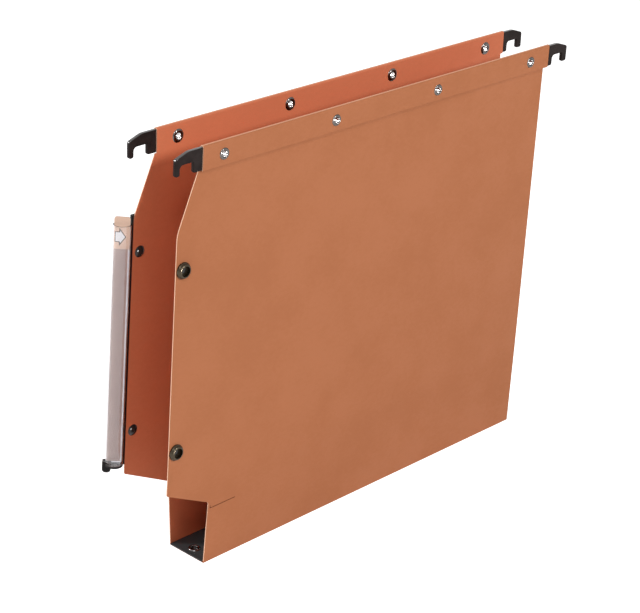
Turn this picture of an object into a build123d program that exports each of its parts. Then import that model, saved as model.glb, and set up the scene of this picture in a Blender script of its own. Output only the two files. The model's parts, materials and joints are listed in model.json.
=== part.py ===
from build123d import *
import os
from math import atan2, cos, degrees, hypot, radians, sin

# Hanging file folder for a lateral cabinet. A card blank is creased twice to make a flat
# base and two leaves. Each leaf is hemmed round a steel bar whose ends carry plastic hooks.
# Frame: origin on the underside of the base, midway between the two rails. +X runs from
# the label end to the plain end, -Y to the front leaf and +Z up.

# Driving dimensions, in millimetres and degrees

# Card blank
card = 0.6
base_width = 30.0
base_label_x = -139.0
base_plain_x = 153.5
leaf_height = 274.0
top_spread = 36.2
crease_gap = 0.15
crease_round = 0.25

# Outward spring of the leaves, which is greatest at the free label end
label_spring = 3.55
plain_spring = 0.3
spring_height = 57.0
spring_radius = 400.0

# Outline of a leaf below its hem, as distances along the base and heights up the leaf
shoulder_x = -154.4
corner_x = -169.6
corner_drop = 35.2
corner_round = 20.0
lip_x = -174.2
lip_height = 60.4
lip_round = 1.5
notch_height = 43.2
notch_round = 2.5
slit_x = -126.7
slit_height = 38.5
slit_length = 21.5
slit_width = 0.5
slit_tick = 2.2

# Hem
hem_height = 15.0
hem_label_x = -153.0
hem_plain_x = 155.5
hem_clearance = 0.1

# Steel bar, with a tongue at each end inside the hook
bar_thickness = 1.2
bar_width = 12.4
bar_end_inset = 3.0
tongue_width = 2.8
tongue_drop = 4.0
tongue_tip_inset = 7.0
tongue_clearance = 0.08

# Hooks
rail_spacing = 330.0
hook_gap = 10.2
hook_gap_depth = 6.6
hook_thickness = 2.2
hook_edge_round = 0.4
hook_seat_gap = 0.3
hook_crown_drop = 0.8
hook_end_drop = 4.0
hook_bend_reach = 9.5
hook_crown_round = 12.0
hook_corner_round = 1.8
hook_gap_round = 2.4
hook_tip_round = 1.3
hook_leg_lift = 0.4
hook_finger_lift = 0.8
label_finger_width = 3.5
plain_finger_width = 4.8

# Eyelets
eyelet_pitch = 91.2
eyelet_count = 4
eyelet_drop = 8.2
eyelet_bore = 3.7
eyelet_wall = 0.35
eyelet_outer_flange = 7.2
eyelet_inner_flange = 8.4
eyelet_crest = 0.8
eyelet_mouth = 0.4
eyelet_clearance = 0.1

# Press studs, placed from the leaf's front edge, its lip and its corner
stud_inset = 5.4
stud_rise = 27.4
stud_drop = 21.8
post_diameter = 3.0
post_clearance = 0.1
cap_diameter = 7.2
cap_height = 1.5
cap_clearance = 0.08
socket_diameter = 10.0
socket_height = 2.6
socket_floor = 0.6
socket_bore = 6.4
socket_shoulder = 0.9
socket_rim_width = 1.3
stud_diameter = 10.4
stud_plate = 0.8
stud_knob = 6.1
stud_knob_height = 2.0
stud_knob_round = 0.6
stud_dimple = 4.2
stud_dimple_depth = 0.8

# Base reinforcement
strip_thickness = 0.8
strip_side_gap = 0.3
strip_overhang = 0.5
rivet_inset = 6.5
rivet_bore = 4.2
rivet_wall = 0.35
rivet_flange = 7.8
rivet_crest = 0.7
rivet_mouth = 0.3
rivet_clearance = 0.1
rivet_foot_thickness = 0.3
rivet_foot_depth = 0.4
rivet_foot_diameter = 7.4

# Label holder, along the front edge of the rear leaf
holder_foot_reach = 20.9
holder_head_reach = 23.6
holder_angle = 45.0
seat_clearance = 0.15
flange_depth = 12.6
flange_thickness = 0.9
nose_thickness = 1.2
foot_thickness = 2.0
lens_radius = 5.4
lens_wall = 0.6
lens_top_gap = 5.2
foot_height = 1.2
foot_margin = 0.4
lug_width = 5.2
lug_depth = 4.0
lug_rise = 1.4
lug_drop = 7.0
lug_round = 2.1
lug_reach = 1.5
lug_wall = 1.1
lug_recess = 1.6
label_width = 9.3
label_thickness = 0.25
label_gap = 0.15
label_top_gap = 0.6
label_corner_round = 1.5

# Values that follow from the driving dimensions
crease_y = (base_width - card) / 2
crease_z = card / 2
lean = atan2(top_spread / 2 - crease_y, leaf_height - crease_z)
leaf_rise = hypot(top_spread / 2 - crease_y, leaf_height - crease_z)
hem_foot = leaf_rise - hem_height
corner_height = hem_foot - corner_drop
stud_low = lip_height + stud_rise
stud_high = corner_height - stud_drop
holder_foot = stud_low - holder_foot_reach
holder_length = stud_high + holder_head_reach - holder_foot
pocket = bar_thickness + 2 * hem_clearance
grip = 2 * card + pocket
bar_depth = (card + pocket) / 2
fold_height = leaf_rise - card - pocket / 2
cut_depth = label_spring + grip
rail_x = rail_spacing / 2

eyelet_height = leaf_rise - eyelet_drop
eyelet_xs = [eyelet_pitch * (i - (eyelet_count - 1) / 2) for i in range(eyelet_count)]
eyelet_hole = eyelet_bore / 2 + eyelet_wall + eyelet_clearance

# The front leaf's own plane: x along the base, y up the leaf, z outwards. The rear leaf
# and its pieces are the mirror image of pieces drawn on the front leaf.
leaf = Plane(origin=(0, -crease_y, crease_z), x_dir=(1, 0, 0), z_dir=(0, -cos(lean), -sin(lean)))
bar_plane = leaf.offset(bar_depth)


def across(x):
    """Plane across the front leaf at x: local x runs inwards and local y up the leaf."""
    return Plane(origin=leaf.from_local_coords((x, 0, 0)), x_dir=-leaf.z_dir, z_dir=leaf.x_dir)


def turned(seat):
    """Plane through the normal of a seat: local x is radial and local y leaves the seat."""
    return Plane(origin=seat.origin, x_dir=seat.x_dir, z_dir=-seat.y_dir)


def edge_x(height):
    """Place of the leaf's front edge at a height between the lip and the corner."""
    share = (height - lip_height) / (corner_height - lip_height)
    return lip_x + share * (corner_x - lip_x)


def save(piece, name):
    """Label a finished piece and write it."""
    piece.part.label = name
    export_step(piece.part, f"parts/{name}.step")


def save_mirrored(piece, name):
    """Write the mirror image of a piece of the front leaf, as a piece of the rear leaf."""
    with BuildPart() as rear_piece:
        mirror(piece.part, about=Plane.XZ)
    save(rear_piece, name)


os.makedirs("parts", exist_ok=True)
stud_places = {"upper": (edge_x(stud_high) + stud_inset, stud_high),
               "lower": (edge_x(stud_low) + stud_inset, stud_low)}


# Card leaf: a sprung sheet cut to the outline, with the hem folded outwards over the bar
def sprung_section(x, spring):
    """Section of the sheet at x, bent outwards by the spring."""
    with BuildSketch(across(x)) as section:
        with BuildLine():
            faces = []
            for offset in (-card / 2, card / 2):
                faces.append(FilletPolyline((offset, -crease_z), (offset - spring, spring_height),
                                            (offset, hem_foot), radius=spring_radius))
            Line(faces[0] @ 0, faces[1] @ 0)
            Line(faces[0] @ 1, faces[1] @ 1)
        make_face()
    return section.sketch


with BuildPart() as sheet:
    loft([sprung_section(lip_x, label_spring), sprung_section(hem_plain_x, plain_spring)], ruled=True)

with BuildPart() as front_panel:
    add(sheet.part)
    crease_face = front_panel.faces().sort_by(Axis.Z)[0]
    fillet(crease_face.edges().sort_by(SortBy.LENGTH)[-2:], radius=crease_round)
    with BuildSketch(leaf):
        with BuildLine():
            FilletPolyline(
                (base_label_x, -crease_z),
                (base_label_x, notch_height),
                (lip_x, lip_height),
                (corner_x, corner_height),
                (shoulder_x, hem_foot),
                (base_plain_x, hem_foot),
                (base_plain_x, -crease_z),
                radius=[0, notch_round, lip_round, corner_round, 0, 0, 0],
                close=True,
            )
        make_face()
        with Locations((slit_x, slit_height)):
            SlotOverall(slit_length, slit_width, mode=Mode.SUBTRACT)
        with Locations((slit_x - (slit_length - slit_width) / 2, slit_height + (slit_tick - slit_width) / 2)):
            SlotOverall(slit_tick, slit_width, rotation=90, mode=Mode.SUBTRACT)
        with Locations(*stud_places.values()):
            Circle(post_diameter / 2 + post_clearance, mode=Mode.SUBTRACT)
    extrude(amount=cut_depth, both=True, mode=Mode.INTERSECT)
    with BuildSketch(across(hem_label_x)):
        flap_face = card / 2 - grip
        with BuildLine():
            inner = Line((card / 2, hem_foot), (card / 2, fold_height))
            over = RadiusArc(inner @ 1, (flap_face, fold_height), -card - pocket / 2)
            flap = Polyline(over @ 1, (flap_face, hem_foot), (flap_face + card, hem_foot),
                            (flap_face + card, fold_height))
            under = RadiusArc(flap @ 1, (-card / 2, fold_height), pocket / 2)
            Polyline(under @ 1, (-card / 2, hem_foot), inner @ 0)
        make_face()
    extrude(amount=hem_plain_x - hem_label_x)
    with BuildSketch(leaf):
        with Locations(*[(x, eyelet_height) for x in eyelet_xs]):
            Circle(eyelet_hole)
    extrude(amount=cut_depth, both=True, mode=Mode.SUBTRACT)
save(front_panel, "front_panel")
save_mirrored(front_panel, "rear_panel")


# Steel bar: a flat strip through the hem, with a tongue at each end
tongue_middle = leaf_rise - tongue_drop - tongue_width / 2
tongue_left = -rail_x - hook_gap / 2 - label_finger_width + tongue_tip_inset
tongue_right = rail_x + hook_gap / 2 + plain_finger_width - tongue_tip_inset

with BuildPart() as bar:
    with BuildSketch(bar_plane):
        strip_left = hem_label_x + bar_end_inset
        strip_right = hem_plain_x - bar_end_inset
        with Locations(((strip_left + strip_right) / 2, fold_height - bar_width / 2)):
            Rectangle(strip_right - strip_left, bar_width)
        with Locations(((tongue_left + tongue_right) / 2, tongue_middle)):
            Rectangle(tongue_right - tongue_left, tongue_width)
        with Locations(*[(x, eyelet_height) for x in eyelet_xs]):
            Circle(eyelet_hole, mode=Mode.SUBTRACT)
    extrude(amount=bar_thickness / 2, both=True)
save(bar, "front_bar")
save_mirrored(bar, "rear_bar")


# Hooks: flat mouldings with a gap for the rail, pushed over the tongues of the bar
def hook(side, root_x, finger_width, gap_rounds, tongue_tip):
    """Hook on one end of the bar. Side is -1 at the label end and +1 at the plain end."""
    gap_near = side * (rail_x - hook_gap / 2)
    gap_far = side * (rail_x + hook_gap / 2)
    tip_x = gap_far + side * finger_width
    crown = leaf_rise - hook_crown_drop
    gap_top = hem_foot + hook_leg_lift + hook_gap_depth
    leg_foot = hem_foot + hook_leg_lift
    finger_foot = hem_foot + hook_finger_lift
    with BuildPart() as moulding:
        with BuildSketch(bar_plane):
            with BuildLine():
                FilletPolyline(
                    (root_x, leg_foot),
                    (root_x, crown),
                    (tip_x - side * hook_bend_reach, crown),
                    (tip_x, leaf_rise - hook_end_drop),
                    (tip_x, finger_foot),
                    (gap_far, finger_foot),
                    (gap_far, gap_top),
                    (gap_near, gap_top),
                    (gap_near, leg_foot),
                    radius=[0, 0, hook_crown_round, hook_corner_round, hook_tip_round, hook_tip_round,
                            gap_rounds[1], gap_rounds[0], hook_tip_round],
                    close=True,
                )
            make_face()
        extrude(amount=hook_thickness / 2, both=True)
        flat_sides = moulding.faces().filter_by(Axis(bar_plane.origin, bar_plane.z_dir))
        fillet(flat_sides.edges(), radius=hook_edge_round)
        with BuildSketch(bar_plane):
            pocket_end = tongue_tip + side * tongue_clearance
            with Locations(((root_x + pocket_end) / 2, tongue_middle)):
                Rectangle(abs(pocket_end - root_x), tongue_width + 2 * tongue_clearance)
        extrude(amount=bar_thickness / 2 + tongue_clearance, both=True, mode=Mode.SUBTRACT)
    return moulding


hooks = {
    "label_end": hook(-1, hem_label_x - hook_seat_gap, label_finger_width,
                      (hook_edge_round, hook_gap_round), tongue_left),
    "plain_end": hook(1, hem_plain_x + hook_seat_gap, plain_finger_width,
                      (hook_gap_round, hook_edge_round), tongue_right),
}
for end, moulding in hooks.items():
    save(moulding, f"front_hook_{end}")
    save_mirrored(moulding, f"rear_hook_{end}")


# Eyelets: turned tubes with a rolled flange on each side of the hem
def eyelet(seat):
    """Eyelet through the hem, seated on its outer face and rolled over wider on its inner face."""
    section = turned(seat)
    inner = eyelet_bore / 2
    barrel = inner + eyelet_wall
    outer_rim = eyelet_outer_flange / 2
    inner_rim = eyelet_inner_flange / 2
    with BuildPart() as ring:
        with BuildSketch(section):
            with BuildLine():
                top = ThreePointArc((outer_rim, 0), ((inner + outer_rim) / 2, eyelet_crest),
                                    (inner, eyelet_mouth))
                foot = ThreePointArc((inner_rim, -grip), ((inner + inner_rim) / 2, -grip - eyelet_crest),
                                     (inner, -grip - eyelet_mouth))
                Line(top @ 1, foot @ 1)
                Polyline(top @ 0, (barrel, 0), (barrel, -grip), foot @ 0)
            make_face()
        revolve(axis=Axis(section.origin, section.y_dir))
    return ring


for number, x in enumerate(eyelet_xs, start=1):
    hem_face = Plane(origin=leaf.from_local_coords((x, eyelet_height, grip - card / 2)),
                     x_dir=leaf.x_dir, z_dir=leaf.z_dir)
    ring = eyelet(hem_face)
    save(ring, f"front_eyelet_{number}")
    save_mirrored(ring, f"rear_eyelet_{number}")


# Press studs: a cap whose post goes through the card, and a socket or a stud on its far side
def card_seat(x, height):
    """Plane on the outer face of the front leaf, square to the card there."""
    probe = Axis(leaf.from_local_coords((x, height, 0)), leaf.z_dir)
    hits = [hit for face in sheet.faces() for hit in face.find_intersection_points(probe)]
    point, normal = max(hits, key=lambda hit: leaf.to_local_coords(hit[0]).Z)
    return Plane(origin=point, x_dir=leaf.x_dir, z_dir=normal)


def stud_cap(seat, reach):
    """Domed cap on the inner face, with a post that reaches past the outer face."""
    section = turned(seat)
    cap_face = -card - cap_clearance
    with BuildPart() as cap:
        with BuildSketch(section):
            with BuildLine():
                dome = TangentArc((0, cap_face - cap_height), (cap_diameter / 2, cap_face), tangent=(1, 0))
                Polyline(dome @ 1, (post_diameter / 2, cap_face), (post_diameter / 2, reach),
                         (0, reach), dome @ 0)
            make_face()
        revolve(axis=Axis(section.origin, section.y_dir))
    return cap


def stud_socket(seat):
    """Female half: a round cup with a rolled rim, open to the outside."""
    section = turned(seat)
    hole = post_diameter / 2 + post_clearance
    rim = socket_bore / 2 + socket_rim_width
    with BuildPart() as socket:
        with BuildSketch(section):
            with BuildLine():
                floor = Polyline((socket_bore / 2, socket_height), (socket_bore / 2, socket_floor),
                                 (hole, socket_floor), (hole, 0), (socket_diameter / 2, 0),
                                 (socket_diameter / 2, socket_shoulder))
                flank = Line(floor @ 1, (rim, socket_shoulder + socket_floor))
                TangentArc(floor @ 0, flank @ 1, tangent=(1, 0))
            make_face()
        revolve(axis=Axis(section.origin, section.y_dir))
    return socket


def stud(seat):
    """Male half: a round plate with a knob that snaps into a socket."""
    section = turned(seat)
    hole = post_diameter / 2 + post_clearance
    knob = stud_knob / 2
    top = stud_plate + stud_knob_height
    with BuildPart() as male:
        with BuildSketch(section):
            with BuildLine():
                FilletPolyline((hole, 0), (stud_diameter / 2, 0), (stud_diameter / 2, stud_plate),
                               (knob, stud_plate), (knob, top), (stud_dimple / 2, top),
                               (hole, top - stud_dimple_depth),
                               radius=[0, 0, stud_plate / 2, 0, stud_knob_round, 0, 0], close=True)
            make_face()
        revolve(axis=Axis(section.origin, section.y_dir))
    return male


for level, (x, height) in stud_places.items():
    seat = card_seat(x, height)
    save(stud_cap(seat, socket_floor), f"front_socket_cap_{level}")
    save(stud_socket(seat.offset(cap_clearance)), f"front_socket_{level}")


# Label holder: the carrier's flange lies on the outside of the rear leaf, under the press studs,
# its nose covers the card's edge, and its foot carries an oblique clear tube with the label in it.
# Local x of the holder's plane runs forwards from the leaf's front edge, local y outwards from the
# card and local z up the edge.
lower_seat = card_seat(*stud_places["lower"])
upper_seat = card_seat(*stud_places["upper"])
edge_dir = (upper_seat.origin - lower_seat.origin).normalized()
forward_dir = upper_seat.z_dir.cross(edge_dir).normalized()
holder = Plane(
    origin=lower_seat.origin + forward_dir * stud_inset - edge_dir * (stud_low - holder_foot),
    x_dir=forward_dir,
    z_dir=edge_dir,
)
flange_face = seat_clearance + flange_thickness
nose_front = seat_clearance + nose_thickness
nose_inner = -card - seat_clearance

# Plane of the label: local x outwards across the label, local y away from the reader. The tube
# stands on the reader's side of the nose.
turn = radians(holder_angle)
lens_stand = lens_wall + seat_clearance
foot_width = 2 * lens_radius
label = Plane(
    origin=holder.from_local_coords(
        (nose_front + lens_stand * sin(turn), nose_inner - lens_stand * cos(turn), 0)),
    x_dir=holder.x_dir * cos(turn) + holder.y_dir * sin(turn),
    z_dir=holder.z_dir,
)
lens_foot = foot_height + label_gap
post_reach = flange_face + stud_plate + stud_knob_height - stud_dimple_depth
flange_seats = {
    level: Plane(origin=seat.origin + holder.y_dir * flange_face, x_dir=holder.x_dir, z_dir=holder.y_dir)
    for level, seat in (("upper", upper_seat), ("lower", lower_seat))
}

with BuildPart() as label_carrier:
    with BuildSketch(holder):
        with Locations(((nose_front - flange_depth) / 2, seat_clearance + flange_thickness / 2)):
            Rectangle(nose_front + flange_depth, flange_thickness)
        with Locations(((nose_front + seat_clearance) / 2, (flange_face + nose_inner) / 2)):
            Rectangle(nose_thickness, flange_face - nose_inner)
    extrude(amount=holder_length)
    with BuildSketch(label):
        with BuildLine():
            bow = ThreePointArc((0, 0), (lens_radius, -lens_radius - foot_margin), (foot_width, 0))
            Polyline(bow @ 1, (foot_width, foot_thickness), (0, foot_thickness), bow @ 0)
        make_face()
    extrude(amount=foot_height)
    lug_middle = foot_width + lug_reach - lug_width / 2
    lug_plane = Plane(origin=label.from_local_coords((lug_middle, foot_thickness, foot_height + lug_rise)),
                      x_dir=label.x_dir, z_dir=-label.y_dir)
    with BuildSketch(lug_plane) as lug:
        with Locations((0, -lug_drop / 2)):
            Rectangle(lug_width, lug_drop)
        fillet(lug.vertices().group_by(Axis.Y)[0], radius=lug_round)
    extrude(amount=lug_depth)
    with BuildSketch(Plane(origin=lug_plane.from_local_coords((0, 0, lug_depth / 2)), x_dir=label.x_dir,
                           z_dir=label.z_dir)):
        Rectangle(lug_width - 2 * lug_wall, lug_depth - 2 * lug_wall)
    extrude(amount=-lug_recess, mode=Mode.SUBTRACT)
    for seat in flange_seats.values():
        with BuildSketch(seat):
            Circle(post_diameter / 2 + post_clearance)
        extrude(amount=-flange_thickness, mode=Mode.SUBTRACT)
save_mirrored(label_carrier, "label_carrier")

for level, seat in flange_seats.items():
    save_mirrored(stud(seat), f"rear_stud_{level}")
    save_mirrored(stud_cap(seat.offset(-flange_face), post_reach), f"rear_stud_cap_{level}")

with BuildPart() as label_lens:
    with BuildSketch(label.offset(lens_foot)):
        with Locations((lens_radius, 0)):
            Circle(lens_radius)
            Circle(lens_radius - lens_wall, mode=Mode.SUBTRACT)
            Rectangle(foot_width, foot_width, align=(Align.CENTER, Align.MIN), mode=Mode.SUBTRACT)
            Rectangle(foot_width, lens_wall, align=(Align.CENTER, Align.MIN))
    extrude(amount=holder_length - lens_top_gap - lens_foot)
    with BuildSketch(label.offset(lens_foot)):
        with Locations((lug_middle - lug_width / 2 - label_gap, 0)):
            Rectangle(foot_width, 2 * foot_width, align=(Align.MIN, Align.CENTER))
    extrude(amount=lug_rise, mode=Mode.SUBTRACT)
save_mirrored(label_lens, "label_lens")

label_foot = lens_foot + lug_rise
label_length = holder_length - label_top_gap - label_foot
label_face = Plane(origin=label.from_local_coords((lens_radius, -label_gap, label_foot)),
                   x_dir=label.x_dir, z_dir=-label.y_dir)
with BuildPart() as label_card:
    with BuildSketch(label_face) as strip:
        with Locations((0, label_length / 2)):
            Rectangle(label_width, label_length)
        fillet(strip.vertices().group_by(Axis.Y)[-1], radius=label_corner_round)
    extrude(amount=label_thickness)
save_mirrored(label_card, "label_card")


# Base: card between the creases, a black strip on it, and a closed rivet at each end
strip_top = card + strip_thickness
base_length = base_plain_x - base_label_x
base_middle = (base_plain_x + base_label_x) / 2
base_inner_width = 2 * (crease_y - card / 2 - crease_gap)
rivet_xs = {"label_end": base_label_x + rivet_inset, "plain_end": base_plain_x - rivet_inset}
rivet_hole = rivet_bore / 2 + rivet_wall + rivet_clearance

with BuildPart() as base_card:
    with BuildSketch():
        with Locations((base_middle, 0)):
            Rectangle(base_length, base_inner_width)
        with Locations(*[(x, 0) for x in rivet_xs.values()]):
            Circle(rivet_hole, mode=Mode.SUBTRACT)
    extrude(amount=card)
    with BuildSketch():
        with Locations(*[(x, 0) for x in rivet_xs.values()]):
            Circle(rivet_foot_diameter / 2 + rivet_clearance)
    extrude(amount=rivet_foot_depth, mode=Mode.SUBTRACT)
save(base_card, "base_card")

with BuildPart() as base_strip:
    with BuildSketch(Plane.XY.offset(card)):
        with Locations((base_middle - strip_overhang / 2, 0)):
            Rectangle(base_length + strip_overhang, base_inner_width - 2 * strip_side_gap)
        with Locations(*[(x, 0) for x in rivet_xs.values()]):
            Circle(rivet_hole, mode=Mode.SUBTRACT)
    extrude(amount=strip_thickness)
save(base_strip, "base_strip")


def base_rivet(x):
    """Closed rivet: a rolled flange on the strip and a flat foot sunk in the card."""
    section = turned(Plane(origin=(x, 0, strip_top), x_dir=(1, 0, 0), z_dir=(0, 0, 1)))
    inner = rivet_bore / 2
    barrel = inner + rivet_wall
    foot_top = rivet_foot_depth - strip_top
    foot_bottom = foot_top - rivet_foot_thickness
    with BuildPart() as rivet:
        with BuildSketch(section):
            with BuildLine():
                flange = ThreePointArc((inner, rivet_mouth), ((inner + rivet_flange / 2) / 2, rivet_crest),
                                       (rivet_flange / 2, 0))
                Polyline(flange @ 1, (barrel, 0), (barrel, foot_top), (rivet_foot_diameter / 2, foot_top),
                         (rivet_foot_diameter / 2, foot_bottom), (0, foot_bottom), (0, foot_top),
                         (inner, foot_top), flange @ 0)
            make_face()
        revolve(axis=Axis(section.origin, section.y_dir))
    return rivet


for end, x in rivet_xs.items():
    save(base_rivet(x), f"base_rivet_{end}")
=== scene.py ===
import json
from math import radians

import bmesh
import bpy
from bpy.props import FloatProperty, FloatVectorProperty, PointerProperty
from mathutils import Matrix, Vector


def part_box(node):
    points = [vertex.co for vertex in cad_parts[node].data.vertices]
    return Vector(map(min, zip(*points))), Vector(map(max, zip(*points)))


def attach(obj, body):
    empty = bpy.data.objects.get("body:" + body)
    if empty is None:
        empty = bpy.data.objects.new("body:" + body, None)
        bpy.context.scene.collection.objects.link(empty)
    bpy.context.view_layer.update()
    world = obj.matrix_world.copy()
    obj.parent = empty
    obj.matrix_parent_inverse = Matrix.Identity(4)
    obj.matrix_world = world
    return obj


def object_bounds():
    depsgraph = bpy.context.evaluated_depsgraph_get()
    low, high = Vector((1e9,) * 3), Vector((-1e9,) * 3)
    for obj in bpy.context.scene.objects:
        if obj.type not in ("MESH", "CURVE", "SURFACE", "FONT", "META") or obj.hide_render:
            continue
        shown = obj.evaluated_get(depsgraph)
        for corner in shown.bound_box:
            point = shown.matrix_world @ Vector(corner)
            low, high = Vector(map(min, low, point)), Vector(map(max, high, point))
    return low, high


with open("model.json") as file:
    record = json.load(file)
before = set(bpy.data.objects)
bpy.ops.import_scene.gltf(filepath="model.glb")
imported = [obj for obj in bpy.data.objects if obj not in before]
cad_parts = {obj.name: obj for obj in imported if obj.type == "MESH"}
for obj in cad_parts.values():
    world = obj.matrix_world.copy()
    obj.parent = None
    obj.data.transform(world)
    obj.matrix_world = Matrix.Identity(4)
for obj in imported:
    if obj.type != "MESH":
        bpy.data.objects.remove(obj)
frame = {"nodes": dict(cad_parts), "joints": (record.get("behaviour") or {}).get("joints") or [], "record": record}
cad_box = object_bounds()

bl_info = {
    "name": "Hanging File Folder",
    "version": (1, 0, 0),
    "blender": (4, 5, 0),
    "location": "View3D > Sidebar > Folder",
    "description": "Finishes a hanging file folder, prints its label and lights it",
    "category": "Object",
}

MM = 0.001
WHITE = (1.0, 1.0, 1.0)
SLOT_COLOURS = {m["slot"]: tuple(m["base_color"][:3]) for m in frame["record"]["materials"]}
SLOT_NODES = {}
for subpart in frame["record"]["subparts"]:
    SLOT_NODES.setdefault(subpart["material_slot"], []).append(subpart["node"])


class FolderCardSettings(bpy.types.PropertyGroup):
    """Colours and texture of the card."""

    outer: FloatVectorProperty(
        name="Outer Face", description="Colour of the card's outer face",
        subtype="COLOR", min=0, max=1, default=(0.450, 0.157, 0.064))
    # The inner face's redder colour is partly painted shade: it stands in for the reddened shade between the
    # leaves.
    inner: FloatVectorProperty(
        name="Inner Face", description="Colour of the card's inner face, redder than the outer one",
        subtype="COLOR", min=0, max=1, default=(0.64, 0.186, 0.086))
    cut: FloatVectorProperty(
        name="Cut Edge", description="Colour of the pale core that shows at the card's cut edges",
        subtype="COLOR", min=0, max=1, default=(0.96, 0.58, 0.40))
    mottle: FloatProperty(
        name="Mottle", description="How much the dye varies over the card",
        subtype="FACTOR", min=0, max=1, default=0.06)
    # Painted shade: this dark colour stands in for the shadow under the hem's foot and inside the slit.
    seam: FloatVectorProperty(
        name="Seam", description="Colour of the shaded edges at the foot of the hem and in the slit",
        subtype="COLOR", min=0, max=1, default=(0.24, 0.08, 0.036))


class FolderTrimSettings(bpy.types.PropertyGroup):
    """Colours of the plastic and metal pieces."""

    hook: FloatVectorProperty(
        name="Hooks", description="Colour of the moulded hooks",
        subtype="COLOR", min=0, max=1, default=(0.020, 0.0145, 0.0135))
    base: FloatVectorProperty(
        name="Base Strip", description="Colour of the strip that stiffens the base",
        subtype="COLOR", min=0, max=1, default=(0.046, 0.050, 0.052))
    holder: FloatVectorProperty(
        name="Label Holder", description="Colour of the label holder's carrier",
        subtype="COLOR", min=0, max=1, default=(0.008, 0.007, 0.007))
    # Partly painted light: upward faces get this paler colour as light from above, besides rubbing.
    top_light_and_wear: FloatVectorProperty(
        name="Worn Plastic", description="Colour of hooks and carrier where their upper edges are rubbed",
        subtype="COLOR", min=0, max=1, default=(0.070, 0.064, 0.062))
    steel: FloatVectorProperty(
        name="Bars", description="Colour of the steel bars",
        subtype="COLOR", min=0, max=1, default=SLOT_COLOURS["bar_steel"])
    nickel: FloatVectorProperty(
        name="Eyelets", description="Colour of the nickelled eyelets",
        subtype="COLOR", min=0, max=1, default=(0.40, 0.385, 0.38))
    gunmetal: FloatVectorProperty(
        name="Press Studs", description="Colour of the press-stud sockets and studs",
        subtype="COLOR", min=0, max=1, default=(0.060, 0.048, 0.033))
    enamel: FloatVectorProperty(
        name="Stud Caps", description="Colour of the enamelled caps of the press studs",
        subtype="COLOR", min=0, max=1, default=SLOT_COLOURS["stud_cap"])
    rivet: FloatVectorProperty(
        name="Rivets", description="Colour of the rivets in the base",
        subtype="COLOR", min=0, max=1, default=(0.16, 0.15, 0.15))


class FolderLabelSettings(bpy.types.PropertyGroup):
    """Sizes and colours of the label's print."""

    # Painted shade: the paper is darkened from white to stand in for the shade on the label turned away from the
    # lamps.
    paper: FloatVectorProperty(
        name="Paper", description="Colour of the label's paper",
        subtype="COLOR", min=0, max=1, default=(0.55, 0.41, 0.37))
    head: FloatVectorProperty(
        name="Head", description="Colour of the printed head of the label",
        subtype="COLOR", min=0, max=1, default=(0.88, 0.62, 0.48))
    arrow: FloatVectorProperty(
        name="Arrow", description="Colour of the arrow in the label's head",
        subtype="COLOR", min=0, max=1, default=(0.92, 0.90, 0.90))
    outline: FloatVectorProperty(
        name="Arrow Outline", description="Colour of the line round the arrow",
        subtype="COLOR", min=0, max=1, default=(0.05, 0.03, 0.025))
    # Partly painted highlight: the printed border is whitened to stand in for the bright reflection along the lens
    # edge.
    rim: FloatVectorProperty(
        name="Border Colour", description="Colour of the pale border at the label's inner side",
        subtype="COLOR", min=0, max=1, default=(0.98, 0.96, 0.98))
    head_length: FloatProperty(
        name="Head Length", description="Length of the printed head, from the label's top",
        unit="LENGTH", subtype="DISTANCE", min=5 * MM, max=60 * MM, default=19.7 * MM)
    border: FloatProperty(
        name="Border", description="Width of the pale border at the label's inner side, under the head",
        unit="LENGTH", subtype="DISTANCE", min=0.1 * MM, max=3 * MM, default=0.9 * MM)
    arrow_length: FloatProperty(
        name="Arrow Length", description="Length of the arrow, across the label",
        unit="LENGTH", subtype="DISTANCE", min=2 * MM, max=8 * MM, default=6.4 * MM)
    arrow_height: FloatProperty(
        name="Arrow Height", description="Height of the arrow's head, along the label",
        unit="LENGTH", subtype="DISTANCE", min=2 * MM, max=15 * MM, default=11.0 * MM)
    arrow_drop: FloatProperty(
        name="Arrow Drop", description="Distance of the arrow's tip below the label's top",
        unit="LENGTH", subtype="DISTANCE", min=2 * MM, max=50 * MM, default=12.3 * MM)


class FolderStageSettings(bpy.types.PropertyGroup):
    """Light, floor and camera."""

    key_power: FloatProperty(
        name="Key Power", description="Power of the soft key light before the folder",
        unit="POWER", min=0, default=34.0)
    key_size: FloatProperty(
        name="Key Size", description="Side of the square key, side and back lights",
        unit="LENGTH", subtype="DISTANCE", min=0.1, default=0.40)
    key_distance: FloatProperty(
        name="Key Distance", description="Distance of the key, side and back lights from the folder",
        unit="LENGTH", subtype="DISTANCE", min=0.5, default=2.5)
    side_power: FloatProperty(
        name="Side Power", description="Power of the soft light above the camera",
        unit="POWER", min=0, default=13.0)
    back_power: FloatProperty(
        name="Back Power", description="Power of the soft light behind the folder's label end",
        unit="POWER", min=0, default=37.0)
    glint_power: FloatProperty(
        name="Glint Power", description="Power of the light that only the metal and enamel fittings mirror",
        unit="POWER", min=0, default=28.0)
    fill: FloatProperty(
        name="Fill", description="Strength of the even light from all round",
        min=0, max=1, default=0.20)
    floor_size: FloatProperty(
        name="Floor Size", description="Side of the square floor",
        unit="LENGTH", subtype="DISTANCE", min=1, default=16.0)
    camera_place: FloatVectorProperty(
        name="Camera Place", description="Where the camera stands",
        subtype="TRANSLATION", default=(-0.92294, -0.82034, 0.6715))
    camera_heading: FloatProperty(
        name="Camera Heading", description="Turn of the camera about the upright axis, from +Y",
        unit="ROTATION", subtype="ANGLE", default=radians(-47.442))
    camera_tilt: FloatProperty(
        name="Camera Tilt", description="How far the camera looks down",
        unit="ROTATION", subtype="ANGLE", default=radians(23.880))
    camera_roll: FloatProperty(
        name="Camera Roll", description="Turn of the camera about its line of sight",
        unit="ROTATION", subtype="ANGLE", default=radians(2.924))
    focal_length: FloatProperty(
        name="Focal Length", description="Focal length of the lens, for a 36 mm sensor",
        unit="CAMERA", subtype="DISTANCE_CAMERA", min=10, default=119.857)


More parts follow.
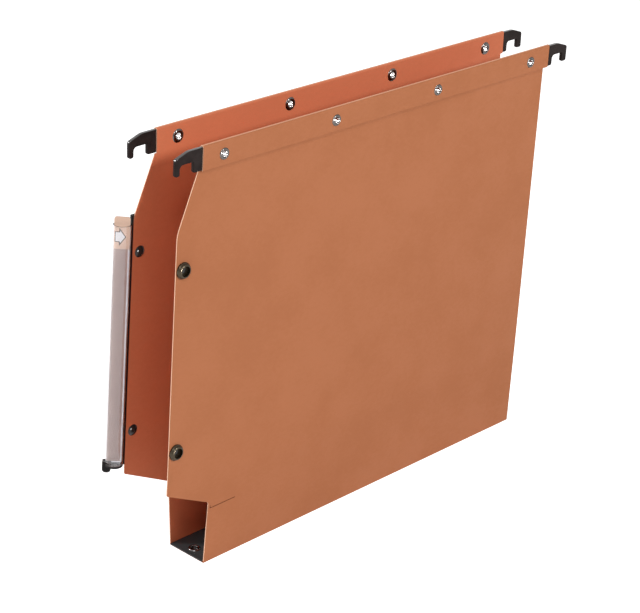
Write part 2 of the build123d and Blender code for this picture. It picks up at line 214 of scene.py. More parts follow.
class FolderSettings(bpy.types.PropertyGroup):
    """All settings of the folder."""

    card: PointerProperty(type=FolderCardSettings, name="Card", description="Colours of the card")
    trim: PointerProperty(type=FolderTrimSettings, name="Trim", description="Colours of the trim")
    label: PointerProperty(type=FolderLabelSettings, name="Label", description="The label's print")
    stage: PointerProperty(type=FolderStageSettings, name="Stage", description="Light, floor and camera")


# Node helpers

def put(tree, socket, value):
    """Feed an input socket from another socket, or set its own value."""
    if isinstance(value, bpy.types.NodeSocket):
        tree.links.new(value, socket)
    elif isinstance(value, (int, float)):
        socket.default_value = value
    elif socket.type == "RGBA" and len(value) == 3:
        socket.default_value = (*value, 1.0)
    else:
        socket.default_value = tuple(value)


def node(tree, kind, inputs=None, **settings):
    """A new node with some settings made, then some inputs fed by name or number."""
    new = tree.nodes.new(kind)
    for name, value in settings.items():
        setattr(new, name, value)
    for key, value in (inputs or {}).items():
        put(tree, new.inputs[key], value)
    return new


def maths(tree, operation, first, second=0.0, third=0.0):
    """Output of a math node."""
    inputs = {0: first, 1: second, 2: third}
    return node(tree, "ShaderNodeMath", inputs, operation=operation).outputs[0]


def ramp(tree, value, from_low, from_high, to_low=0.0, to_high=1.0):
    """A value brought from one range to another, clamped and eased at both ends."""
    inputs = {
        "Value": value,
        "From Min": from_low,
        "From Max": from_high,
        "To Min": to_low,
        "To Max": to_high,
    }
    return node(tree, "ShaderNodeMapRange", inputs, interpolation_type="SMOOTHSTEP").outputs["Result"]


def fall(tree, value, low, high):
    """1 below a range and 0 above it."""
    return ramp(tree, value, low, high, 1.0, 0.0)


def blend_colours(tree, factor, first, second, blend_type="MIX"):
    """Output of a colour mix."""
    mix = node(tree, "ShaderNodeMix", data_type="RGBA", blend_type=blend_type)
    for socket, value in ((mix.inputs[0], factor), (mix.inputs[6], first), (mix.inputs[7], second)):
        put(tree, socket, value)
    return mix.outputs[2]


def noise(tree, vector, scale, detail=3.0, roughness=0.5):
    """Value of a noise texture."""
    inputs = {"Vector": vector, "Scale": scale, "Detail": detail, "Roughness": roughness}
    return node(tree, "ShaderNodeTexNoise", inputs).outputs["Fac"]


def stretched(tree, vector, scale):
    """Coordinates scaled differently along each axis."""
    return node(tree, "ShaderNodeMapping", {"Vector": vector, "Scale": scale}).outputs["Vector"]


def axes(tree, vector):
    """The X, Y and Z of a vector."""
    return node(tree, "ShaderNodeSeparateXYZ", {0: vector}).outputs


def bump(tree, height, strength, distance):
    """Normal raised by a height."""
    inputs = {"Height": height, "Strength": strength, "Distance": distance}
    return node(tree, "ShaderNodeBump", inputs).outputs["Normal"]


def shade(tree, output, inputs):
    """Principled shader on the output, with its inputs fed."""
    shader = node(tree, "ShaderNodeBsdfPrincipled", inputs)
    tree.links.new(shader.outputs["BSDF"], output.inputs["Surface"])


def new_material(name):
    """A material with an empty node tree, its coordinates node and its output."""
    material = bpy.data.materials.new(name)
    material.use_nodes = True
    tree = material.node_tree
    tree.nodes.clear()
    coordinates = tree.nodes.new("ShaderNodeTexCoord")
    return material, tree, coordinates, tree.nodes.new("ShaderNodeOutputMaterial")


def new_group(name, sockets_in, sockets_out):
    """An empty shader node group with its sockets, and its input and output nodes."""
    tree = bpy.data.node_groups.new(name, "ShaderNodeTree")
    for socket_name, kind, value in sockets_in:
        socket = tree.interface.new_socket(name=socket_name, in_out="INPUT", socket_type=kind)
        if value is not None:
            socket.default_value = value
    for socket_name, kind in sockets_out:
        tree.interface.new_socket(name=socket_name, in_out="OUTPUT", socket_type=kind)
    return tree, tree.nodes.new("NodeGroupInput").outputs, tree.nodes.new("NodeGroupOutput").inputs


# Shared effects
# A noise is given by its detail and roughness, and a range by its two limits.

CLOUD_NOISE = (4.0, 0.55)
FIBRE_NOISE = (4.0, 0.62)
FLECK_NOISE = (2.0, 0.5)
FIBRE_STRETCH = (0.7, 1.0, 1.2)
FLECK_FINENESS = 2.3
CLOUD_TONE = 0.55
FIBRE_TONE = 0.30
FLECK_TONE = 0.15
TONE_RANGE = (0.34, 0.66)
FIBRE_HEIGHT = 0.6
FLECK_HEIGHT = 0.4

GRAIN_NOISE = (2.0, 0.5)
RUB_NOISE = (3.0, 0.6)
RUB_SCALE = 90.0
RUB_SHEEN_RANGE = (0.3, 0.7)
RUB_TONE_RANGE = (0.3, 0.75)

LINE_NOISE = (2.0, 0.6)
LINE_STRETCH = (0.15, 1.0, 1.0)
PATCH_NOISE = (3.0, 0.6)
PATCH_SCALE = 260.0
PATCH_DULL_RANGE = (0.3, 0.72)
PATCH_TARNISH_RANGE = (0.5, 0.8)


def card_fibre():
    """Group: the cloudy dye, the fine fibres and the flecks of pressed card."""
    name = "Card Fibre"
    if name in bpy.data.node_groups:
        return bpy.data.node_groups[name]
    tree, given, results = new_group(
        name,
        [("Vector", "NodeSocketVector", None), ("Cloud Scale", "NodeSocketFloat", 28.0),
         ("Fibre Scale", "NodeSocketFloat", 420.0)],
        [("Tone", "NodeSocketFloat"), ("Height", "NodeSocketFloat")])
    clouds = noise(tree, given["Vector"], given["Cloud Scale"], *CLOUD_NOISE)
    along = stretched(tree, given["Vector"], FIBRE_STRETCH)
    fibres = noise(tree, along, given["Fibre Scale"], *FIBRE_NOISE)
    fleck_scale = maths(tree, "MULTIPLY", given["Fibre Scale"], FLECK_FINENESS)
    flecks = noise(tree, given["Vector"], fleck_scale, *FLECK_NOISE)
    tone = maths(tree, "MULTIPLY_ADD", clouds, CLOUD_TONE, maths(tree, "MULTIPLY", fibres, FIBRE_TONE))
    tone = maths(tree, "MULTIPLY_ADD", flecks, FLECK_TONE, tone)
    put(tree, results["Tone"], ramp(tree, tone, *TONE_RANGE))
    height = maths(tree, "MULTIPLY", fibres, FIBRE_HEIGHT)
    put(tree, results["Height"], maths(tree, "MULTIPLY_ADD", flecks, FLECK_HEIGHT, height))
    return tree


def moulded_grain():
    """Group: the fine spark grain and the handling sheen of moulded plastic."""
    name = "Moulded Grain"
    if name in bpy.data.node_groups:
        return bpy.data.node_groups[name]
    tree, given, results = new_group(
        name,
        [("Vector", "NodeSocketVector", None), ("Grain Scale", "NodeSocketFloat", 2600.0),
         ("Sheen Low", "NodeSocketFloat", 0.3), ("Sheen High", "NodeSocketFloat", 0.45)],
        [("Roughness", "NodeSocketFloat"), ("Height", "NodeSocketFloat"), ("Tone", "NodeSocketFloat")])
    grain = noise(tree, given["Vector"], given["Grain Scale"], *GRAIN_NOISE)
    rub = noise(tree, given["Vector"], RUB_SCALE, *RUB_NOISE)
    sheen = ramp(tree, rub, *RUB_SHEEN_RANGE, given["Sheen Low"], given["Sheen High"])
    put(tree, results["Roughness"], sheen)
    put(tree, results["Height"], grain)
    put(tree, results["Tone"], ramp(tree, rub, *RUB_TONE_RANGE))
    return tree


def handled_metal():
    """Group: the fine drawn lines, the dull patches and the tarnish of small metal fittings."""
    name = "Handled Metal"
    if name in bpy.data.node_groups:
        return bpy.data.node_groups[name]
    tree, given, results = new_group(
        name,
        [("Vector", "NodeSocketVector", None), ("Line Scale", "NodeSocketFloat", 1400.0),
         ("Polish", "NodeSocketFloat", 0.16), ("Dull", "NodeSocketFloat", 0.34)],
        [("Roughness", "NodeSocketFloat"), ("Height", "NodeSocketFloat"), ("Tarnish", "NodeSocketFloat")])
    along = stretched(tree, given["Vector"], LINE_STRETCH)
    lines = noise(tree, along, given["Line Scale"], *LINE_NOISE)
    patches = noise(tree, given["Vector"], PATCH_SCALE, *PATCH_NOISE)
    dulled = ramp(tree, patches, *PATCH_DULL_RANGE, given["Polish"], given["Dull"])
    put(tree, results["Roughness"], dulled)
    put(tree, results["Height"], lines)
    put(tree, results["Tarnish"], ramp(tree, patches, *PATCH_TARNISH_RANGE))
    return tree


# Finishes
# A facing range is a range of the face normal along one axis. A bump is its strength and distance.

# Hem foot and slit limits: where the card gets painted shade.
HEM_LOW = 0.94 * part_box("front_panel")[1].z
HEM_EDGE = 1 * MM
SLIT_FROM = (-138.2 * MM, 37.5 * MM)
SLIT_TO = (-115.5 * MM, 41.5 * MM)
MASK_EDGE = 0.2 * MM
CREASE_RANGE = (1.0 * MM, 1.6 * MM)
OUTER_FACING = (-0.15, 0.15)
EDGE_FACING = (0.45, 0.60)
END_FACING = (0.40, 0.55)
FOLD_FACING = (0.2, 0.4)
UNDERSIDE_FACING = (-0.8, -0.5)
FOLD_RUB = 0.45
CARD_ROUGHNESS = (0.74, 0.60)
CARD_SPECULAR = 0.28
CARD_BUMP = (0.14, 0.08 * MM)

# Upward faces of the plastic get the paler colour: painted light from above, partly wear.
TOP_LIGHT_FACING = (0.55, 0.95)
FLAT_FACING = (0.90, 0.98)
GLOSS_FACING = (0.05, 0.25)
RUBBED_GAIN = 1.5
RUBBED_LIFT = 0.004
EDGE_COAT_ROUGHNESS = 0.15
PLASTIC_SPECULAR = 0.10
PLASTIC_BUMP = (0.18, 0.05 * MM)
HOOK_SPECULAR = 0.03
HOOK_SHEEN = (0.26, 0.40)
BASE_SHEEN = (0.42, 0.58)
HOLDER_SHEEN = (0.24, 0.38)

RIM_FACING = (0.25, 0.6)
METAL_SPECULAR = 0.5
METAL_COAT_ROUGHNESS = 0.06
METAL_BUMP = (0.10, 0.03 * MM)
BAR_TARNISH = (0.30, 0.29, 0.28)
BAR_POLISH = (0.30, 0.45)
NICKEL_TARNISH = (0.13, 0.11, 0.10)
# Darker colour of the eyelets' flat faces: a painted reflection of dark surroundings.
NICKEL_FLAT_SHADE = (0.12, 0.11, 0.105)
NICKEL_POLISH = (0.10, 0.22)
GUNMETAL_TARNISH = (0.035, 0.028, 0.020)
GUNMETAL_POLISH = (0.20, 0.36)
ENAMEL_WEAR = (0.025, 0.022, 0.02)
ENAMEL_POLISH = (0.10, 0.20)
ENAMEL_SPECULAR = 0.3
RIVET_TARNISH = (0.09, 0.085, 0.08)
RIVET_POLISH = (0.10, 0.22)
RIVET_COAT = 0.3

LENS_COLOUR = (0.80, 0.80, 0.82)
LENS_IOR = 1.46
LENS_GRAIN = 500.0
LENS_HAZE = (0.0, 0.04)

PAPER_CLOUDS = 60.0
PAPER_FIBRES = 900.0
PAPER_MOTTLE = 0.08
PAPER_ROUGHNESS = (0.62, 0.50)
PAPER_BUMP = (0.10, 0.05 * MM)


def dress(slot, material):
    """Give a material to every node of a slot."""
    for name in SLOT_NODES[slot]:
        materials = frame["nodes"][name].data.materials
        materials.clear()
        materials.append(material)


def between(tree, value, low, high):
    """1 where a value lies between two limits, otherwise 0."""
    above = ramp(tree, value, low - MASK_EDGE, low)
    return maths(tree, "MULTIPLY", above, fall(tree, value, high, high + MASK_EDGE))


def card_finish(settings):
    """Pressed card: a redder inner face that is partly painted shade of the pocket between the leaves, pale cut
    edges, rubbed folds, painted shade at the hem's foot and in the slit, clouds and fibres.
    """
    material, tree, coordinates, output = new_material("Pressed Card")
    place = axes(tree, coordinates.outputs["Object"])
    facing = axes(tree, coordinates.outputs["Normal"])
    inputs = {"Vector": coordinates.outputs["Object"]}
    fibre = node(tree, "ShaderNodeGroup", inputs, node_tree=card_fibre()).outputs

    # Inner faces take the redder colour, which is partly painted shade of the pocket between the leaves.
    outward = maths(tree, "MULTIPLY", facing["Y"], maths(tree, "SIGN", place["Y"]))
    is_outer = ramp(tree, outward, *OUTER_FACING)
    colour = blend_colours(tree, is_outer, settings.inner, settings.outer)
    darker = blend_colours(tree, 1.0, colour, (1 - settings.mottle,) * 3, "MULTIPLY")
    colour = blend_colours(tree, fibre["Tone"], darker, colour)

    edgewise = fall(tree, maths(tree, "ABSOLUTE", facing["Y"]), *EDGE_FACING)
    endwise = ramp(tree, maths(tree, "ABSOLUTE", facing["X"]), *END_FACING)
    upward = ramp(tree, facing["Z"], *FOLD_FACING)
    folded = maths(tree, "MULTIPLY", upward, maths(tree, "SUBTRACT", 1.0, endwise))
    above_crease = ramp(tree, place["Z"], *CREASE_RANGE)
    is_cut = maths(tree, "MULTIPLY", edgewise, maths(tree, "SUBTRACT", 1.0, folded))
    is_cut = maths(tree, "MULTIPLY", is_cut, above_crease)
    rubbed = maths(tree, "MULTIPLY", folded, maths(tree, "MULTIPLY", edgewise, FOLD_RUB))
    colour = blend_colours(tree, maths(tree, "MAXIMUM", is_cut, rubbed), colour, settings.cut)

    # Painted shade: downward faces at the hem's foot and the cut edges in the slit are darkened.
    downward = fall(tree, facing["Z"], *UNDERSIDE_FACING)
    at_hem = ramp(tree, place["Z"], HEM_LOW, HEM_LOW + HEM_EDGE)
    in_slit = maths(tree, "MULTIPLY", between(tree, place["X"], SLIT_FROM[0], SLIT_TO[0]),
                    between(tree, place["Z"], SLIT_FROM[1], SLIT_TO[1]))
    shaded = maths(tree, "MAXIMUM", maths(tree, "MULTIPLY", downward, at_hem),
                   maths(tree, "MULTIPLY", edgewise, in_slit))
    colour = blend_colours(tree, shaded, colour, settings.seam)

    shade(tree, output, {
        "Base Color": colour,
        "Roughness": ramp(tree, fibre["Tone"], 0.0, 1.0, *CARD_ROUGHNESS),
        "Specular IOR Level": CARD_SPECULAR,
        "Normal": bump(tree, fibre["Height"], *CARD_BUMP),
    })
    return material


def plastic_finish(name, colour, top_light_and_wear, sheen, specular=PLASTIC_SPECULAR, edge_gloss=False):
    """Moulded plastic with a fine grain, paler where it is rubbed at random, and paler on its upward faces:
    painted light from above, partly wear.

    Edge gloss adds a glossy coat on those edges."""
    material, tree, coordinates, output = new_material(name)
    facing = axes(tree, coordinates.outputs["Normal"])
    inputs = {
        "Vector": coordinates.outputs["Object"],
        "Sheen Low": sheen[0],
        "Sheen High": sheen[1],
    }
    grain = node(tree, "ShaderNodeGroup", inputs, node_tree=moulded_grain()).outputs
    rubbed = [min(1.0, channel * RUBBED_GAIN + RUBBED_LIFT) for channel in colour]
    mottled = blend_colours(tree, grain["Tone"], colour, rubbed)
    # Upward faces blend to the paler colour: painted light from above, partly wear.
    inputs = {
        "Base Color": blend_colours(tree, ramp(tree, facing["Z"], *TOP_LIGHT_FACING), mottled, top_light_and_wear),
        "Roughness": grain["Roughness"],
        "Specular IOR Level": specular,
        "Normal": bump(tree, grain["Height"], *PLASTIC_BUMP),
    }
    if edge_gloss:
        off_face = fall(tree, maths(tree, "ABSOLUTE", facing["Y"]), *FLAT_FACING)
        upward = ramp(tree, facing["Z"], *GLOSS_FACING)
        inputs["Coat Weight"] = maths(tree, "MULTIPLY", off_face, upward)
        inputs["Coat Roughness"] = EDGE_COAT_ROUGHNESS
    shade(tree, output, inputs)
    return material


def metal_finish(name, colour, tarnish, polish, metallic=1.0, coat=0.0, specular=METAL_SPECULAR, face=None):
    """Small metal fitting, with drawn lines, dull patches and tarnish.

    Its flat faces may take a darker colour: a painted reflection of dark surroundings."""
    material, tree, coordinates, output = new_material(name)
    # Painted reflection: faces across the fitting's axis get the darker colour.
    if face:
        across = maths(tree, "ABSOLUTE", axes(tree, coordinates.outputs["Normal"])["Y"])
        colour = blend_colours(tree, ramp(tree, across, *RIM_FACING), colour, face)
    inputs = {
        "Vector": coordinates.outputs["Object"],
        "Polish": polish[0],
        "Dull": polish[1],
    }
    handled = node(tree, "ShaderNodeGroup", inputs, node_tree=handled_metal()).outputs
    shade(tree, output, {
        "Base Color": blend_colours(tree, handled["Tarnish"], colour, tarnish),
        "Metallic": metallic,
        "Roughness": handled["Roughness"],
        "Specular IOR Level": specular,
        "Coat Weight": coat,
        "Coat Roughness": METAL_COAT_ROUGHNESS,
        "Normal": bump(tree, handled["Height"], *METAL_BUMP),
    })
    return material


def lens_finish():
    """Clear plastic that lets lamps through, with a faint haze of handling."""
    material, tree, coordinates, output = new_material("Clear Lens")
    inputs = {
        "Vector": coordinates.outputs["Object"],
        "Grain Scale": LENS_GRAIN,
        "Sheen Low": LENS_HAZE[0],
        "Sheen High": LENS_HAZE[1],
    }
    grain = node(tree, "ShaderNodeGroup", inputs, node_tree=moulded_grain()).outputs
    clear = node(tree, "ShaderNodeBsdfPrincipled", {
        "Base Color": LENS_COLOUR,
        "Roughness": grain["Roughness"],
        "IOR": LENS_IOR,
        "Transmission Weight": 1.0,
    })
    through = node(tree, "ShaderNodeBsdfTransparent")
    path = node(tree, "ShaderNodeLightPath")
    mix = node(tree, "ShaderNodeMixShader", {
        0: path.outputs["Is Shadow Ray"],
        1: clear.outputs["BSDF"],
        2: through.outputs["BSDF"],
    })
    tree.links.new(mix.outputs["Shader"], output.inputs["Surface"])
    return material


def paper_finish(name, colour):
    """Smooth label paper, with a little fibre."""
    material, tree, coordinates, output = new_material(name)
    inputs = {
        "Vector": coordinates.outputs["Object"],
        "Cloud Scale": PAPER_CLOUDS,
        "Fibre Scale": PAPER_FIBRES,
    }
    fibre = node(tree, "ShaderNodeGroup", inputs, node_tree=card_fibre()).outputs
    darker = [channel * (1 - PAPER_MOTTLE) for channel in colour]
    shade(tree, output, {
        "Base Color": blend_colours(tree, fibre["Tone"], darker, colour),
        "Roughness": ramp(tree, fibre["Tone"], 0.0, 1.0, *PAPER_ROUGHNESS),
        "Specular IOR Level": 0.0,
        "Normal": bump(tree, fibre["Height"], *PAPER_BUMP),
    })
    return material


class FolderOperator:
    """What the operators share."""

    bl_options = {"REGISTER", "UNDO"}


class HANGING_FOLDER_OT_card(FolderOperator, bpy.types.Operator):
    """Finish the leaves and the base card in pressed card"""

    bl_idname = "hanging_folder.card"
    bl_label = "Card"

    def execute(self, context):
        dress("card", card_finish(context.scene.hanging_folder.card))
        return {"FINISHED"}


class HANGING_FOLDER_OT_hanging_parts(FolderOperator, bpy.types.Operator):
    """Finish the bars, their hooks and the eyelets"""

    bl_idname = "hanging_folder.hanging_parts"
    bl_label = "Bars, Hooks and Eyelets"

    def execute(self, context):
        trim = context.scene.hanging_folder.trim
        dress("bar_steel", metal_finish("Bar Steel", trim.steel, BAR_TARNISH, BAR_POLISH))
        dress("hook_plastic", plastic_finish(
            "Hook Plastic", trim.hook, trim.top_light_and_wear, HOOK_SHEEN, HOOK_SPECULAR, edge_gloss=True))
        dress("eyelet_nickel", metal_finish(
            "Nickel", trim.nickel, NICKEL_TARNISH, NICKEL_POLISH, face=NICKEL_FLAT_SHADE))
        return {"FINISHED"}


class HANGING_FOLDER_OT_press_studs(FolderOperator, bpy.types.Operator):
    """Finish the press studs, their sockets and their caps"""

    bl_idname = "hanging_folder.press_studs"
    bl_label = "Press Studs"

    def execute(self, context):
        trim = context.scene.hanging_folder.trim
        dress("stud_metal", metal_finish("Gunmetal", trim.gunmetal, GUNMETAL_TARNISH, GUNMETAL_POLISH))
        dress("stud_cap", metal_finish(
            "Black Enamel", trim.enamel, ENAMEL_WEAR, ENAMEL_POLISH,
            metallic=0.0, specular=ENAMEL_SPECULAR))
        return {"FINISHED"}


class HANGING_FOLDER_OT_base(FolderOperator, bpy.types.Operator):
    """Finish the black base strip and its rivets"""

    bl_idname = "hanging_folder.base"
    bl_label = "Base Strip and Rivets"

    def execute(self, context):
        trim = context.scene.hanging_folder.trim
        dress("base_plastic", plastic_finish("Base Strip", trim.base, trim.base, BASE_SHEEN))
        dress("rivet_metal", metal_finish(
            "Black Rivet", trim.rivet, RIVET_TARNISH, RIVET_POLISH, coat=RIVET_COAT))
        return {"FINISHED"}


class HANGING_FOLDER_OT_label_holder(FolderOperator, bpy.types.Operator):
    """Finish the label holder's carrier and its clear lens"""

    bl_idname = "hanging_folder.label_holder"
    bl_label = "Label Holder"

    def execute(self, context):
        trim = context.scene.hanging_folder.trim
        dress("holder_plastic", plastic_finish("Holder Plastic", trim.holder, trim.top_light_and_wear, HOLDER_SHEEN))
        dress("lens", lens_finish())
        return {"FINISHED"}


# Label print

PRINT_THICKNESS = 0.04 * MM
PRINT_MARGIN = 0.15 * MM
PRINT_CORNER = 1.4 * MM
PRINT_CORNER_SEGMENTS = 6
ARROW_OUTLINE = 0.45 * MM
ARROW_HEAD_SHARE = 0.62
ARROW_SHAFT_SHARE = 0.58
ARROW_LEFT_GAP = 0.5 * MM


def label_place():
    """Matrix of the label's printed face, with its origin at the middle of the top edge.

    Local x runs across the label to the reader's right, local y up it and local z to the reader.
    The label's width and length follow."""
    slide = next((joint for joint in frame["joints"] if joint["name"] == "label_slide"), None)
    if slide is None:
        raise RuntimeError("the label has no slide joint to give its direction")
    up = Vector(slide["axis"]).normalized()
    mesh = frame["nodes"]["label_card"].data
    facing = [face for face in mesh.polygons if face.normal.y < 0]
    to_reader = max(facing, key=lambda face: face.area).normal
    right = up.cross(to_reader).normalized()
    across = [vertex.co.dot(right) for vertex in mesh.vertices]
    heights = [vertex.co.dot(up) for vertex in mesh.vertices]
    top = max(heights)
    front = max(vertex.co.dot(to_reader) for vertex in mesh.vertices)
    middle = right * (min(across) + max(across)) / 2 + up * top + to_reader * front
    turn = Matrix((right, up, to_reader)).transposed().to_4x4()
    return Matrix.Translation(middle) @ turn, max(across) - min(across), top - min(heights)


def plate(name, outline, place, material, level=0, corners=(), inset=0.0):
    """Thin printed plate: an outline, some corners rounded, its rim drawn in, raised to its level."""
    shape = bmesh.new()
    vertices = [shape.verts.new((x, y, 0)) for x, y in outline]
    face = shape.faces.new(vertices)
    if corners:
        bmesh.ops.bevel(shape, geom=[vertices[i] for i in corners], offset=PRINT_CORNER, affect="VERTICES",
                        segments=PRINT_CORNER_SEGMENTS, profile=0.5, material=-1)
        face = shape.faces[:][0]
    if inset:
        face.normal_update()
        drawn = bmesh.ops.inset_individual(shape, faces=[face], thickness=inset, use_even_offset=True)
        bmesh.ops.delete(shape, geom=drawn["faces"], context="FACES")
    raised = bmesh.ops.extrude_face_region(shape, geom=shape.faces[:])["geom"]
    top = [part for part in raised if isinstance(part, bmesh.types.BMVert)]
    bmesh.ops.translate(shape, verts=top, vec=(0, 0, PRINT_THICKNESS))
    bmesh.ops.translate(shape, verts=shape.verts[:], vec=(0, 0, level * PRINT_THICKNESS))
    bmesh.ops.recalc_face_normals(shape, faces=shape.faces[:])
    bmesh.ops.transform(shape, matrix=place, verts=shape.verts[:])
    mesh = bpy.data.meshes.new(name)
    shape.to_mesh(mesh)
    shape.free()
    piece = bpy.data.objects.new(name, mesh)
    bpy.context.scene.collection.objects.link(piece)
    mesh.materials.append(material)
    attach(piece, "label_insert")


class HANGING_FOLDER_OT_label(FolderOperator, bpy.types.Operator):
    """Finish the label's paper, darkened as painted shade, and print its coloured head, its border, whitened as a
    painted highlight of the lens edge, and its arrow
    """

    bl_idname = "hanging_folder.label"
    bl_label = "Label and Print"

    def execute(self, context):
        settings = context.scene.hanging_folder.label
        # The paper colour is darkened as painted shade.
        dress("label_paper", paper_finish("Label Paper", settings.paper))
        place, width, length = label_place()
        half = width / 2 - PRINT_MARGIN
        head_foot = -settings.head_length
        head = [(-half, -PRINT_MARGIN), (-half, head_foot), (half, head_foot), (half, -PRINT_MARGIN)]
        plate("label_head", head, place, paper_finish("Label Head", settings.head), corners=(0, 3))
        border_left = half - settings.border
        border_foot = PRINT_MARGIN - length
        border = [
            (border_left, head_foot),
            (border_left, border_foot),
            (half, border_foot),
            (half, head_foot),
        ]
        # The border is a printed strip whitened as a painted highlight of the lens edge.
        plate("label_border_glint", border, place, paper_finish("Label Border Glint", settings.rim))
        left = -half + ARROW_LEFT_GAP
        tip = left + settings.arrow_length
        neck = tip - settings.arrow_length * ARROW_HEAD_SHARE
        barb = settings.arrow_height / 2
        shaft = barb * ARROW_SHAFT_SHARE
        middle = -settings.arrow_drop
        arrow = [
            (left, middle + shaft),
            (left, middle - shaft),
            (neck, middle - shaft),
            (neck, middle - barb),
            (tip, middle),
            (neck, middle + barb),
            (neck, middle + shaft),
        ]
        outline = paper_finish("Arrow Outline", settings.outline)
        plate("label_arrow_outline", arrow, place, outline, level=1)
        filling = paper_finish("Arrow", settings.arrow)
        plate("label_arrow", arrow, place, filling, level=2, inset=ARROW_OUTLINE)
        return {"FINISHED"}


# Stage

KEY_DIRECTION = Vector((0.14, -0.82, 0.47)).normalized()
SIDE_DIRECTION = Vector((-0.56, -0.47, 0.68)).normalized()
BACK_DIRECTION = Vector((-0.62, 0.62, 0.48)).normalized()
GLINT_DIRECTION = Vector((-0.22, -0.97, 0.05)).normalized()
GLINT_SHARE = 0.6
SHINY_SLOTS = ("stud_cap", "stud_metal", "rivet_metal", "eyelet_nickel")
AIM_HEIGHT = 0.5
FLOOR_DROP = 0.05 * MM
FLOOR_COLOUR = (0.82, 0.82, 0.82)
FLOOR_CLOUDS = 3.0
FLOOR_CLOUD_SHADE = 0.98
FLOOR_ROUGHNESS = 0.9
FLOOR_LIFT = 0.84
FIRST_MATT_BOUNCE = 0.5


def seen_directly(tree):
    """1 for a camera, glossy or transmission ray that no matt surface has sent on, otherwise 0."""
    path = node(tree, "ShaderNodeLightPath").outputs
    either = maths(tree, "MAXIMUM", path["Is Camera Ray"], path["Is Glossy Ray"])
    any_of_three = maths(tree, "MAXIMUM", either, path["Is Transmission Ray"])
    before_matt = maths(tree, "LESS_THAN", path["Diffuse Depth"], FIRST_MATT_BOUNCE)
    return maths(tree, "MULTIPLY", any_of_three, before_matt)


def soft_lamp(name, direction, distance, size, power):
    """Square area light that stands off in a direction and faces the folder's middle."""
    data = bpy.data.lights.new(name, "AREA")
    data.shape = "SQUARE"
    data.size = size
    data.energy = power
    lamp = bpy.data.objects.new(name, data)
    bpy.context.scene.collection.objects.link(lamp)
    low, high = (Vector(corner) for corner in cad_box)
    lamp.location = low.lerp(high, AIM_HEIGHT) + direction * distance
    lamp.rotation_euler = direction.to_track_quat("Z", "Y").to_euler()
    lamp.visible_transmission = False
    return lamp


def floor_finish():
    """Pale floor, lifted to white for the camera, with the folder's shadow kept."""
    material, tree, coordinates, output = new_material("Pale Floor")
    cloud = noise(tree, coordinates.outputs["Object"], FLOOR_CLOUDS)
    clouded = [channel * FLOOR_CLOUD_SHADE for channel in FLOOR_COLOUR]
    shade(tree, output, {
        "Base Color": blend_colours(tree, cloud, FLOOR_COLOUR, clouded),
        "Roughness": FLOOR_ROUGHNESS,
        "Specular IOR Level": 0.0,
        "Emission Color": WHITE,
        "Emission Strength": maths(tree, "MULTIPLY", seen_directly(tree), FLOOR_LIFT),
    })
    return material


def lay_floor(scene, size):
    """Square floor just under the folder."""
    shape = bmesh.new()
    bmesh.ops.create_grid(shape, x_segments=1, y_segments=1, size=size / 2,
                          matrix=Matrix.Translation((0, 0, -FLOOR_DROP)))
    mesh = bpy.data.meshes.new("floor")
    shape.to_mesh(mesh)
    shape.free()
    floor = bpy.data.objects.new("floor", mesh)
    scene.collection.objects.link(floor)
    mesh.materials.append(floor_finish())


def set_lamps(settings):
    """Three soft lamps for the whole folder, and one that only the shiny fittings mirror."""
    distance = settings.key_distance
    soft_lamp("key", KEY_DIRECTION, distance, settings.key_size, settings.key_power)
    soft_lamp("side", SIDE_DIRECTION, distance, settings.key_size, settings.side_power)
    soft_lamp("back", BACK_DIRECTION, distance, settings.key_size, settings.back_power)
    glint = soft_lamp("glint", GLINT_DIRECTION, distance * GLINT_SHARE, settings.key_size * GLINT_SHARE,
                      settings.glint_power)
    glint.visible_diffuse = False
    shiny = bpy.data.collections.new("shiny")
    for slot in SHINY_SLOTS:
        for name in SLOT_NODES[slot]:
            shiny.objects.link(frame["nodes"][name])
    glint.light_linking.receiver_collection = shiny


def set_world(scene, fill):
    """Even light from all round, which is white where it is seen directly."""
    world = bpy.data.worlds.new("soft_light")
    world.use_nodes = True
    tree = world.node_tree
    tree.nodes.clear()
    strength = ramp(tree, seen_directly(tree), 0.0, 1.0, fill, 1.0)
    background = node(tree, "ShaderNodeBackground", {"Color": WHITE, "Strength": strength})
    output = node(tree, "ShaderNodeOutputWorld")
    tree.links.new(background.outputs["Background"], output.inputs["Surface"])
    scene.world = world


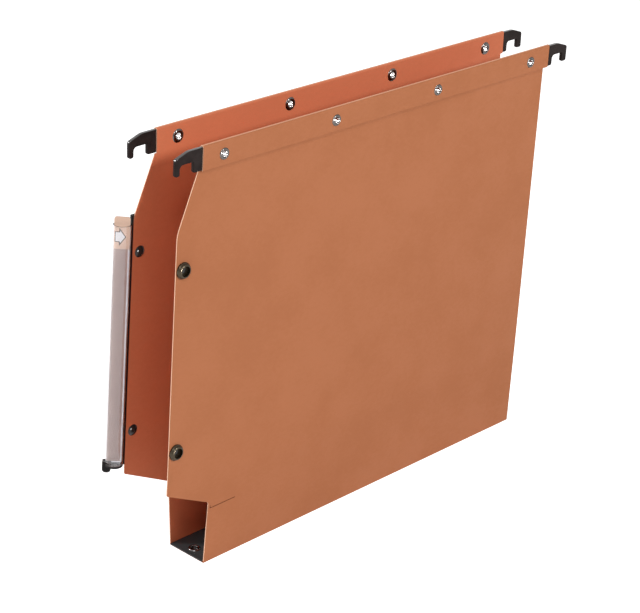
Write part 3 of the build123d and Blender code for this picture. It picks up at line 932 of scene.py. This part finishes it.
def set_camera(scene, settings):
    """Camera at the viewing angle of the settings."""
    data = bpy.data.cameras.new("camera")
    data.lens = settings.focal_length
    camera = bpy.data.objects.new("camera", data)
    scene.collection.objects.link(camera)
    turn = Matrix.Rotation(settings.camera_heading, 4, "Z")
    tilt = Matrix.Rotation(radians(90) - settings.camera_tilt, 4, "X")
    roll = Matrix.Rotation(settings.camera_roll, 4, "Z")
    camera.matrix_world = Matrix.Translation(settings.camera_place) @ turn @ tilt @ roll
    scene.camera = camera


class HANGING_FOLDER_OT_stage(FolderOperator, bpy.types.Operator):
    """Set the floor, the light and the camera"""

    bl_idname = "hanging_folder.stage"
    bl_label = "Stage"

    def execute(self, context):
        scene = context.scene
        settings = scene.hanging_folder.stage
        scene.view_settings.view_transform = "Standard"
        lay_floor(scene, settings.floor_size)
        set_lamps(settings)
        set_world(scene, settings.fill)
        set_camera(scene, settings)
        return {"FINISHED"}


PIECE_OPERATORS = (
    HANGING_FOLDER_OT_card,
    HANGING_FOLDER_OT_hanging_parts,
    HANGING_FOLDER_OT_press_studs,
    HANGING_FOLDER_OT_base,
    HANGING_FOLDER_OT_label_holder,
    HANGING_FOLDER_OT_label,
    HANGING_FOLDER_OT_stage,
)


class VIEW3D_PT_hanging_folder(bpy.types.Panel):
    """Lists the folder's operators and settings"""

    bl_label = "Hanging File Folder"
    bl_space_type = "VIEW_3D"
    bl_region_type = "UI"
    bl_category = "Folder"

    def draw(self, context):
        settings = context.scene.hanging_folder
        for operator in PIECE_OPERATORS:
            self.layout.operator(operator.bl_idname)
        for group in (settings.card, settings.trim, settings.label, settings.stage):
            box = self.layout.box()
            for name in group.__annotations__:
                box.prop(group, name)


CLASSES = (
    FolderCardSettings,
    FolderTrimSettings,
    FolderLabelSettings,
    FolderStageSettings,
    FolderSettings,
    *PIECE_OPERATORS,
    VIEW3D_PT_hanging_folder,
)


def register():
    for cls in CLASSES:
        bpy.utils.register_class(cls)
    bpy.types.Scene.hanging_folder = PointerProperty(type=FolderSettings)


def unregister():
    del bpy.types.Scene.hanging_folder
    for cls in reversed(CLASSES):
        bpy.utils.unregister_class(cls)


def main():
    register()
    bpy.ops.hanging_folder.card()
    bpy.ops.hanging_folder.hanging_parts()
    bpy.ops.hanging_folder.press_studs()
    bpy.ops.hanging_folder.base()
    bpy.ops.hanging_folder.label_holder()
    bpy.ops.hanging_folder.label()
    bpy.ops.hanging_folder.stage()


if __name__ == "__main__":
    main()
